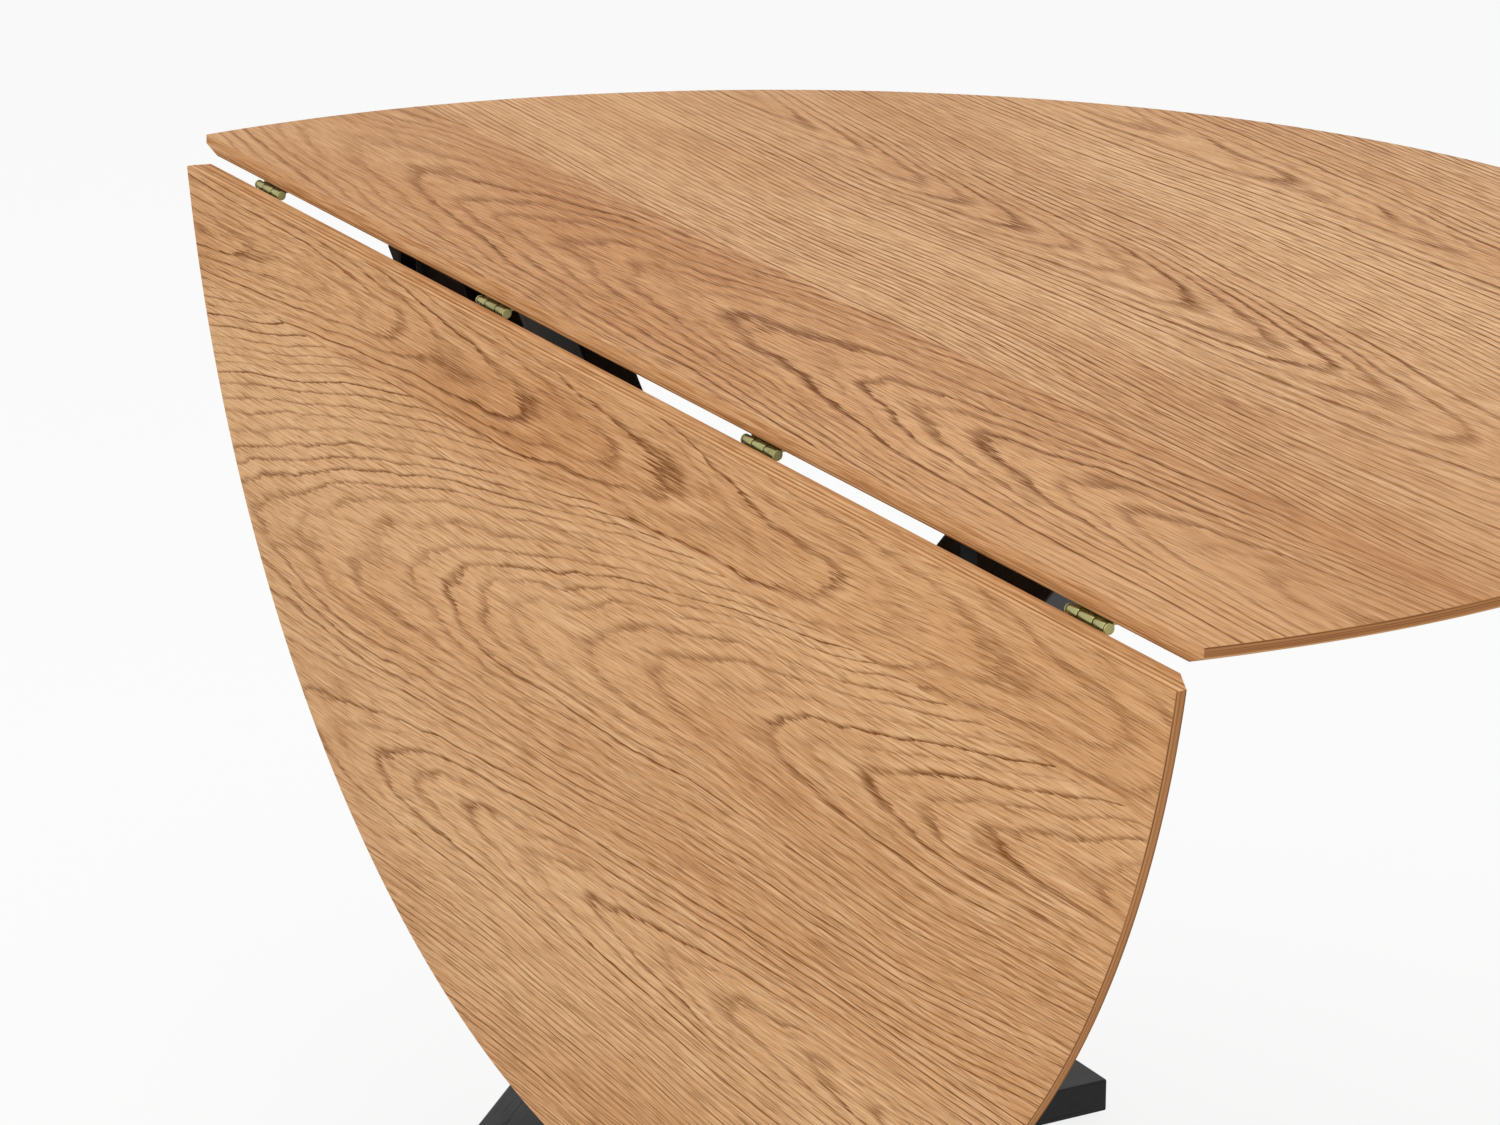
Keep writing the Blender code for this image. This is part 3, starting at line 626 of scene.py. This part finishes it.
# Four butt hinges of drawn brass join the panels. Each has a plate screwed under either panel, a barrel of
# three knuckles hanging just below the seam, and a pin with a flat head at each end.
BRASS_LIGHT = (0.400, 0.385, 0.170, 1)
BRASS_RUBBED = (0.540, 0.510, 0.210, 1)
BRASS_DARK = (0.200, 0.190, 0.070, 1)
BRASS_SCRATCHES = (60, 2500, 2500)
BRASS_TARNISH = (90, 90, 90)
BRASS_RELIEF = 0.00002
BRASS_RELIEF_STRENGTH = 0.6
SCRATCH_ROUGHNESS = 0.12
TARNISH_ROUGHNESS = 0.12
TARNISHED = Layer(start=0.45, end=0.75, share=0.7, colour=BRASS_DARK)
HINGES = 4
KNUCKLE_RADIUS = 0.0032
KNUCKLE_BORE = 0.0017
KNUCKLE_EASE = 0.0006
KNUCKLE_GAP = 0.0009
MIDDLE_KNUCKLE = 0.0136
EASE_BULGE = 0.3
PLATE_THICK = 0.0034
PLATE_SETBACK = 0.0033
PLATE_EASE = 0.0003
WEB_START = 0.0023
WEB_LAP = 0.0010
WEB_RISE = 0.0005
WEB_EASE = 0.0002
PIN_HEAD_THICK = 0.0010
PIN_HEAD_EASE = 0.0002
PIN_PLAY = 0.0002
HINGE_SCREW_SPREAD = 0.0115
SCREW_HEAD_RADIUS = 0.0029
SCREW_HEAD_RISE = 0.0005
TURNED_STEPS = 48
TURNED_WELD = 0.000001
ROW_SHARP_ANGLE = 35

# Half the section of a screw head, from its socket outwards, in shares of its radius and rise.
SCREW_SECTION = ((0, 0.3), (0.16, 0.3), (0.2, 1), (0.55, 0.9), (0.85, 0.6), (1, 0.15), (1, -1), (0, -1))
SCREW_STEPS = 24

axis_spot = Vector(frame["record"]["behaviour"]["joints"][0]["pos_m"])
hinge_boxes = [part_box(f"hinge_{count}_main_plate") for count in range(1, HINGES + 1)]
hinge_xs = [(low.x + high.x) / 2 for low, high in hinge_boxes]
plate_top = hinge_boxes[0][1].z - axis_spot.z
plate_far = hinge_boxes[0][1].y - axis_spot.y
plate_half = (hinge_boxes[0][1].x - hinge_boxes[0][0].x) / 2


def brass_finish(name, colour, metallic, roughness):
    """Brass drawn along X, with fine scratches and blooms of tarnish."""
    finish = Finish(name, {"Metallic": metallic})
    scratches = finish.speckle(BRASS_SCRATCHES)
    tarnish = finish.speckle(BRASS_TARNISH, detail=4.0, roughness=0.6)
    finish.feed("Base Color", finish.lay(colour, TARNISHED, tarnish))
    finish.feed("Roughness", roughness + scratches * SCRATCH_ROUGHNESS + tarnish * TARNISH_ROUGHNESS)
    finish.relief(scratches, BRASS_RELIEF, BRASS_RELIEF_STRENGTH)
    return finish.material


def row_tree():
    """A tree that sets copies of a piece along a line and gives them one finish."""
    tree = bpy.data.node_groups.new("row_of_pieces", "GeometryNodeTree")
    tree.is_modifier = True
    face = tree.interface
    face.new_socket("Piece", in_out="INPUT", socket_type="NodeSocketGeometry")
    face.new_socket("Count", in_out="INPUT", socket_type="NodeSocketInt")
    face.new_socket("First", in_out="INPUT", socket_type="NodeSocketVector")
    face.new_socket("Step", in_out="INPUT", socket_type="NodeSocketVector")
    face.new_socket("Finish", in_out="INPUT", socket_type="NodeSocketMaterial")
    face.new_socket("Row", in_out="OUTPUT", socket_type="NodeSocketGeometry")
    given = tree.nodes.new("NodeGroupInput")
    line = tree.nodes.new("GeometryNodeMeshLine")
    copies = tree.nodes.new("GeometryNodeInstanceOnPoints")
    solid = tree.nodes.new("GeometryNodeRealizeInstances")
    painted = tree.nodes.new("GeometryNodeSetMaterial")
    row = tree.nodes.new("NodeGroupOutput")
    tree.links.new(given.outputs["Count"], line.inputs["Count"])
    tree.links.new(given.outputs["First"], line.inputs["Start Location"])
    tree.links.new(given.outputs["Step"], line.inputs["Offset"])
    tree.links.new(line.outputs["Mesh"], copies.inputs["Points"])
    tree.links.new(given.outputs["Piece"], copies.inputs["Instance"])
    tree.links.new(copies.outputs["Instances"], solid.inputs["Geometry"])
    tree.links.new(solid.outputs["Geometry"], painted.inputs["Geometry"])
    tree.links.new(given.outputs["Finish"], painted.inputs["Material"])
    tree.links.new(painted.outputs["Geometry"], row.inputs["Row"])
    return tree


ROW_TREE = row_tree()
ROW_SOCKETS = {item.name: item.identifier for item in ROW_TREE.interface.items_tree}


def row_of(name, shape, count, first, step, finish, body, slot, *nodes):
    """Turns one piece's shape into a row of them, as a plain mesh that rides on a body."""
    mesh = mesh_of(name, shape)
    mesh.shade_smooth()
    mesh.set_sharp_from_angle(angle=math.radians(ROW_SHARP_ANGLE))
    maker = bpy.data.objects.new(name + "_maker", mesh)
    bpy.context.scene.collection.objects.link(maker)
    row = maker.modifiers.new("row", "NODES")
    row.node_group = ROW_TREE
    row[ROW_SOCKETS["Count"]] = count
    row[ROW_SOCKETS["First"]] = tuple(first)
    row[ROW_SOCKETS["Step"]] = tuple(step)
    row[ROW_SOCKETS["Finish"]] = finish
    made = final_mesh(maker)
    made.name = name
    bpy.data.objects.remove(maker)
    return add_piece(name, made, body, slot, *nodes)


def add_turned(shape, points, stand, steps=TURNED_STEPS):
    """Adds a solid turned about Z from (radius, height) points, moved by a matrix.

    Ends on the axis are closed."""
    corners = [shape.verts.new((radius, 0, height)) for radius, height in points]
    edges = [shape.edges.new(pair) for pair in zip(corners, corners[1:])]
    bmesh.ops.spin(
        shape,
        geom=corners + edges,
        cent=(0, 0, 0),
        axis=(0, 0, 1),
        angle=2 * math.pi,
        steps=steps,
        use_merge=True,
        use_duplicate=False,
    )
    skin = {face for edge in edges for face in edge.link_faces}
    reached = list(skin)
    while reached:
        face = reached.pop()
        for edge in face.edges:
            for other in edge.link_faces:
                if other not in skin:
                    skin.add(other)
                    reached.append(other)
    verts = list({vert for face in skin for vert in face.verts})
    bmesh.ops.remove_doubles(shape, verts=verts, dist=TURNED_WELD)
    skin = [face for face in skin if face.is_valid]
    bmesh.ops.recalc_face_normals(shape, faces=skin)
    verts = list({vert for face in skin for vert in face.verts})
    bmesh.ops.transform(shape, matrix=stand, verts=verts)


def add_tube(shape, start, end, radius, bore, ease):
    """Adds a knuckle along X between start and end, with its outer corners eased."""
    bulge = ease * EASE_BULGE
    points = [
        (bore, start),
        (radius - ease, start),
        (radius - bulge, start + bulge),
        (radius, start + ease),
        (radius, end - ease),
        (radius - bulge, end - bulge),
        (radius - ease, end),
        (bore, end),
        (bore, start),
    ]
    add_turned(shape, points, Matrix.Rotation(math.pi / 2, 4, "Y"))


def add_block(shape, low, high, ease):
    """Adds a block between two corners with its edges eased."""
    low, high = Vector(low), Vector(high)
    made = bmesh.ops.create_cube(shape, size=1.0)["verts"]
    bmesh.ops.scale(shape, vec=high - low, verts=made)
    bmesh.ops.translate(shape, vec=(low + high) / 2, verts=made)
    edges = list({edge for vert in made for edge in vert.link_edges})
    bmesh.ops.bevel(shape, geom=edges, offset=ease, segments=BEVEL_STEPS, profile=0.5, affect="EDGES")


def add_screw(shape, spot, radius, rise):
    """Adds the low domed head of a wood screw with a round socket, facing down."""
    points = [(radius * out, rise * up) for out, up in SCREW_SECTION]
    facing_down = Vector((0, 0, 1)).rotation_difference(Vector((0, 0, -1))).to_matrix().to_4x4()
    add_turned(shape, points, Matrix.Translation(spot) @ facing_down, SCREW_STEPS)


def hinge_half(side, knuckles):
    """A plate with its knuckles and screws, about the pin.

    side +1 lies under the main panel, and -1 under the leaf."""
    shape = bmesh.new()
    plate_bottom = plate_top - PLATE_THICK
    near, far = sorted((side * PLATE_SETBACK, side * plate_far))
    add_block(shape, (-plate_half, near, plate_bottom), (plate_half, far, plate_top), PLATE_EASE)
    for start, end in knuckles:
        add_tube(shape, start, end, KNUCKLE_RADIUS, KNUCKLE_BORE, KNUCKLE_EASE)
        web_near, web_far = sorted((side * WEB_START, side * (PLATE_SETBACK + WEB_LAP)))
        add_block(shape, (start, web_near, 0), (end, web_far, plate_bottom + WEB_RISE), WEB_EASE)
    screw_y = side * (PLATE_SETBACK + plate_far) / 2
    for sign in (-1, 1):
        spot = (sign * HINGE_SCREW_SPREAD, screw_y, plate_bottom)
        add_screw(shape, spot, SCREW_HEAD_RADIUS, SCREW_HEAD_RISE)
    return shape


def hinge_row(name, shape, finish, body, part):
    """Sets one part of a hinge at each hinge's place."""
    first = Vector((hinge_xs[0], axis_spot.y, axis_spot.z))
    step = ((hinge_xs[-1] - hinge_xs[0]) / (HINGES - 1), 0, 0)
    nodes = [f"hinge_{count}_{part}" for count in range(1, HINGES + 1)]
    row_of(name, shape, HINGES, first, step, finish, body, "brass", *nodes)


knuckle_near = MIDDLE_KNUCKLE / 2 + KNUCKLE_GAP
knuckle_far = plate_half - KNUCKLE_GAP / 2
brass = brass_finish("drawn_brass", BRASS_LIGHT, metallic=1.0, roughness=0.18)
rubbed_brass = brass_finish("rubbed_brass", BRASS_RUBBED, metallic=0.35, roughness=0.40)
main_half = hinge_half(1, [(-knuckle_far, -knuckle_near), (knuckle_near, knuckle_far)])
hinge_row("main_hinge_halves", main_half, brass, "frame", "main_plate")
leaf_half = hinge_half(-1, [(-MIDDLE_KNUCKLE / 2, MIDDLE_KNUCKLE / 2)])
bmesh.ops.transform(leaf_half, matrix=Matrix.Rotation(math.pi / 2, 4, "X"), verts=leaf_half.verts)
hinge_row("leaf_hinge_halves", leaf_half, brass, "leaf", "leaf_plate")

pin_shape = bmesh.new()
head_near = knuckle_far + KNUCKLE_GAP
head_far = head_near + PIN_HEAD_THICK
pin_points = [
    (0, head_far),
    (KNUCKLE_RADIUS - PIN_HEAD_EASE, head_far),
    (KNUCKLE_RADIUS, head_far - PIN_HEAD_EASE),
    (KNUCKLE_RADIUS, head_near),
    (KNUCKLE_BORE - PIN_PLAY, head_near),
]
pin_points += [(radius, -height) for radius, height in reversed(pin_points)]
add_turned(pin_shape, pin_points, Matrix.Rotation(math.pi / 2, 4, "Y"))
hinge_row("hinge_pins", pin_shape, rubbed_brass, "frame", "pin")


# The base is an X of three slanting boards, two feet along the floor, and two bearers and three rails under
# the top. All are ash planed square, eased at the edges and lacquered black so the pores still show.
LACQUER = (0.0100, 0.0105, 0.0115, 1)
LACQUER_RUBBED = (0.0240, 0.0245, 0.0260, 1)
LACQUER_GLOSS = 0.25
LACQUER_ROUGHNESS = 0.42
LACQUER_RELIEF = 0.00012
LACQUER_FIBRES = (22, 700)
LACQUER_RINGS = (1.6, 70)
OPEN_PORES_FROM = 0.52
OPEN_PORES_TO = 0.68
OPEN_RINGS_FROM = 0.4
OPEN_RINGS_TO = 0.6
CLOSED_RING_SHARE = 0.25
OPEN_PORE_ROUGHNESS = 0.2
LACQUER_SCUFFS = (14, 14, 14)
SCUFF_ROUGHNESS = 0.12
RUBBED_LACQUER = Layer(start=0.5, end=0.8, share=1.0, colour=LACQUER_RUBBED)
COPY_WELD = 0.000002
COPY_FLAT_ANGLE = 0.5
COPY_SHARP_ANGLE = 40
LEG_HALF_SPREAD = 0.374


def black_lacquer(name, turn, along_axis):
    """Black lacquer over open grain. The grain runs along one axis, after a turn about Y."""
    finish = Finish(name, {"Specular IOR Level": LACQUER_GLOSS})
    turned = finish.add("ShaderNodeMapping", sockets={"Vector": finish.place, "Rotation": (0, turn, 0)})[0]
    parts = finish.add("ShaderNodeSeparateXYZ", sockets={0: turned})
    along = parts.pop(along_axis)

    def drawn_out(along_count, across_count):
        """Noise with so many features per metre along the grain, and so many on both ways across it."""
        return finish.noise(along * along_count, *(wire * across_count for wire in parts))

    fibres = drawn_out(*LACQUER_FIBRES)
    rings = finish.ramp(drawn_out(*LACQUER_RINGS), OPEN_RINGS_FROM, OPEN_RINGS_TO, CLOSED_RING_SHARE)
    pores = finish.ramp(fibres, OPEN_PORES_FROM, OPEN_PORES_TO) * rings
    scuffs = finish.speckle(LACQUER_SCUFFS, detail=4.0, roughness=0.65)
    finish.feed("Base Color", finish.lay(LACQUER, RUBBED_LACQUER, scuffs))
    finish.feed("Roughness", LACQUER_ROUGHNESS + pores * OPEN_PORE_ROUGHNESS + scuffs * SCUFF_ROUGHNESS)
    finish.relief(1 - pores, LACQUER_RELIEF)
    return finish.material


def eased_copy(node, name, body, slot, finish, ease=0.0):
    """A copy of a CAD node with its triangles merged into whole faces and its edges eased."""
    shape = bmesh.new()
    shape.from_mesh(bpy.data.objects[node].data)
    bmesh.ops.remove_doubles(shape, verts=shape.verts, dist=COPY_WELD)
    flat = math.radians(COPY_FLAT_ANGLE)
    bmesh.ops.dissolve_limit(
        shape, angle_limit=flat, verts=shape.verts, edges=shape.edges, delimit={"NORMAL"}
    )
    mesh = mesh_of(name, shape)
    mesh.materials.clear()
    mesh.materials.append(finish)
    piece = add_piece(name, mesh, body, slot, node)
    if ease:
        add_bevel(piece, ease, COPY_SHARP_ANGLE)
    return smoothed(piece, COPY_SHARP_ANGLE)


leg_low, leg_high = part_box("leg_front_cheek")
leg_rise = leg_high.z - leg_low.z
leg_run = 2 * LEG_HALF_SPREAD * leg_rise / main_low.z
leg_turn = math.atan2(leg_rise, leg_run)
lacquer_falling = black_lacquer("falling_board_lacquer", -leg_turn, 0)
lacquer_rising = black_lacquer("rising_board_lacquer", leg_turn, 0)
lacquer_cross = black_lacquer("cross_bar_lacquer", 0, 0)
lacquer_long = black_lacquer("long_bar_lacquer", 0, 1)
eased_copy("leg_front_cheek", "front_cheek", "frame", "black_wood", lacquer_falling)
eased_copy("leg_centre_board", "centre_board", "frame", "black_wood", lacquer_rising)
eased_copy("leg_back_cheek", "back_cheek", "frame", "black_wood", lacquer_falling)
for side in ("left", "right"):
    eased_copy(f"foot_{side}", f"{side}_foot", "frame", "black_wood", lacquer_long)
    eased_copy(f"bearer_{side}", f"{side}_bearer", "frame", "black_wood", lacquer_long)
for where in ("front", "middle", "rear"):
    eased_copy(f"rail_{where}", f"{where}_rail", "frame", "black_wood", lacquer_cross)


# Black steel bolts, washers and a nut hold the base together, and screws hold the bearers to the top.
# They are turned or pressed, then coated with a thin matt black powder.
STEEL = (0.0100, 0.0105, 0.0115, 1)
STEEL_WORN = (0.0240, 0.0245, 0.0260, 1)
STEEL_GLOSS = 0.2
STEEL_ROUGHNESS = 0.50
STEEL_RELIEF = 0.00004
STEEL_PEEL = (900, 900, 900)
STEEL_WEAR = (55, 55, 55)
WEAR_ROUGHNESS = 0.15
WORN_STEEL = Layer(start=0.55, end=0.8, share=0.6, colour=STEEL_WORN)
BOLT_EASE = 0.0004
TOP_SCREWS = 3
TOP_SCREW_RADIUS = 0.0045
TOP_SCREW_RISE = 0.0012
TOP_SCREW_FIRST = 0.48
TOP_SCREW_STEP = 0.22


def black_steel(name):
    """Powder-coated steel with a fine peel, worn a little here and there."""
    finish = Finish(name, {"Specular IOR Level": STEEL_GLOSS})
    peel = finish.speckle(STEEL_PEEL)
    wear = finish.speckle(STEEL_WEAR, detail=4.0, roughness=0.65)
    finish.feed("Base Color", finish.lay(STEEL, WORN_STEEL, wear))
    finish.feed("Roughness", STEEL_ROUGHNESS + wear * WEAR_ROUGHNESS)
    finish.relief(peel, STEEL_RELIEF)
    return finish.material


steel = black_steel("black_steel")
for node in ("cross_bolt", "cross_nut", "cross_washer_front", "cross_washer_back"):
    eased_copy(node, node + "_turned", "frame", "black_steel", steel, BOLT_EASE)
for where in ("front", "centre", "back"):
    for group in ("bearer_bolt", "foot_bolt"):
        eased_copy(f"{group}_{where}", f"{where}_{group}", "frame", "black_steel", steel, BOLT_EASE)

for side in ("left", "right"):
    bearer_low, bearer_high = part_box(f"bearer_{side}")
    bearer_length = bearer_high.y - bearer_low.y
    bearer_middle = (bearer_low.x + bearer_high.x) / 2
    screw = bmesh.new()
    add_screw(screw, (0, 0, 0), TOP_SCREW_RADIUS, TOP_SCREW_RISE)
    spot = (bearer_middle, bearer_low.y + TOP_SCREW_FIRST * bearer_length, bearer_low.z)
    step = (0, TOP_SCREW_STEP * bearer_length, 0)
    row_of(f"{side}_top_screws", screw, TOP_SCREWS, spot, step, steel, "frame", "black_steel")


# A stay swings out from a steel bracket on each side and holds the raised leaf through a nylon pad.
# The bracket is bent plate, the arm flat bar with round ends, and the leaf has a thin plate for the pad.
# Nylon glides under the feet are moulded like the pads.
NYLON = (0.0260, 0.0260, 0.0270, 1)
NYLON_RUBBED = (0.0480, 0.0480, 0.0490, 1)
NYLON_ROUGHNESS = 0.5
NYLON_RELIEF = 0.00005
NYLON_GRAIN = (1500, 1500, 1500)
NYLON_RUB = (70, 70, 70)
RUB_ROUGHNESS = 0.15
RUBBED_NYLON = Layer(start=0.45, end=0.75, share=1.0, colour=NYLON_RUBBED)
BRACKET_EASE = 0.0005
ARM_EASE = 0.0006
REST_PLATE_EASE = 0.0003
NYLON_EASE = 0.0004


def moulded_nylon():
    """Black nylon with a fine moulded grain, rubbed paler where it slides."""
    finish = Finish("black_nylon")
    grain = finish.speckle(NYLON_GRAIN)
    rub = finish.speckle(NYLON_RUB, detail=3.0)
    finish.feed("Base Color", finish.lay(NYLON, RUBBED_NYLON, rub))
    finish.feed("Roughness", NYLON_ROUGHNESS + rub * RUB_ROUGHNESS)
    finish.relief(grain, NYLON_RELIEF)
    return finish.material


nylon = moulded_nylon()
for side in ("left", "right"):
    eased_copy(f"stay_{side}_bracket", f"{side}_stay_bracket", "frame", "black_steel", steel, BRACKET_EASE)
    eased_copy(f"stay_{side}_pin", f"{side}_stay_pin", "frame", "black_steel", steel, BOLT_EASE)
    eased_copy(f"stay_{side}_arm", f"{side}_stay_arm", f"stay_{side}", "black_steel", steel, ARM_EASE)
    eased_copy(f"stay_{side}_pad", f"{side}_stay_pad", f"stay_{side}", "nylon", nylon, NYLON_EASE)
    eased_copy(
        f"stay_{side}_rest_plate", f"{side}_rest_plate", "leaf", "black_steel", steel, REST_PLATE_EASE
    )
    for where in ("front", "rear"):
        eased_copy(f"glide_{side}_{where}", f"{side}_{where}_glide", "frame", "nylon", nylon, NYLON_EASE)


# The table stands on a plain pale studio floor under soft even light, against white.
# The floor glows for the camera and for reflections, and still keeps some of the table's shadow.
FLOOR_SIZE = 40.0
FLOOR_WHITE = (0.98, 0.98, 0.98, 1)
FLOOR_GLOW = 0.85
BACKGROUND = (1.0, 1.0, 1.0, 1)
AMBIENT = 0.60


def seen_by(tree, *kinds):
    """A socket that is 1 for the named kinds of ray and 0 for all others."""
    rays = tree.nodes.new("ShaderNodeLightPath")
    seen = rays.outputs[kinds[0]]
    for kind in kinds[1:]:
        either = tree.nodes.new("ShaderNodeMath")
        either.operation = "MAXIMUM"
        tree.links.new(seen, either.inputs[0])
        tree.links.new(rays.outputs[kind], either.inputs[1])
        seen = either.outputs[0]
    return seen


def mix_into(tree, output, share, first, second):
    """Mixes two shaders by a share and sends them to a new output node."""
    both = tree.nodes.new("ShaderNodeMixShader")
    tree.links.new(share, both.inputs["Fac"])
    tree.links.new(first.outputs[0], both.inputs[1])
    tree.links.new(second.outputs[0], both.inputs[2])
    tree.links.new(both.outputs[0], tree.nodes.new(output).inputs["Surface"])


floor_shape = bmesh.new()
bmesh.ops.create_grid(floor_shape, x_segments=1, y_segments=1, size=FLOOR_SIZE / 2)
floor = bpy.data.objects.new("studio_floor", mesh_of("studio_floor", floor_shape))
bpy.context.scene.collection.objects.link(floor)

paper = bpy.data.materials.new("studio_paper")
paper.use_nodes = True
tree = paper.node_tree
tree.nodes.clear()
share = tree.nodes.new("ShaderNodeMath")
share.operation = "MULTIPLY"
share.inputs[1].default_value = FLOOR_GLOW
tree.links.new(seen_by(tree, "Is Camera Ray", "Is Glossy Ray"), share.inputs[0])
matt = tree.nodes.new("ShaderNodeBsdfDiffuse")
matt.inputs["Color"].default_value = FLOOR_WHITE
glow = tree.nodes.new("ShaderNodeEmission")
glow.inputs["Color"].default_value = BACKGROUND
mix_into(tree, "ShaderNodeOutputMaterial", share.outputs[0], matt, glow)
floor.data.materials.append(paper)

world = bpy.data.worlds.new("studio_air")
world.use_nodes = True
bpy.context.scene.world = world
tree = world.node_tree
tree.nodes.clear()
air = tree.nodes.new("ShaderNodeBackground")
air.inputs["Color"].default_value = BACKGROUND
air.inputs["Strength"].default_value = AMBIENT
white = tree.nodes.new("ShaderNodeBackground")
white.inputs["Color"].default_value = BACKGROUND
seen = seen_by(tree, "Is Camera Ray", "Is Glossy Ray", "Is Transmission Ray")
mix_into(tree, "ShaderNodeOutputWorld", seen, air, white)


def soft_box(name, spot, aim, size, power):
    """A square area lamp at a spot, turned to face a point."""
    lamp = bpy.data.lights.new(name, "AREA")
    lamp.size = size
    lamp.energy = power
    light = bpy.data.objects.new(name, lamp)
    light.location = spot
    light.rotation_euler = (Vector(aim) - Vector(spot)).to_track_quat("-Z", "Y").to_euler()
    bpy.context.scene.collection.objects.link(light)


soft_box("overhead_box", spot=(0.3, 0.1, 3.2), aim=(0, 0.1, 0.7), size=3.0, power=32)
soft_box("front_box", spot=(0.6, -3.4, 1.6), aim=(0, 0, 0.5), size=2.4, power=32)

bpy.context.scene.view_settings.view_transform = "Standard"
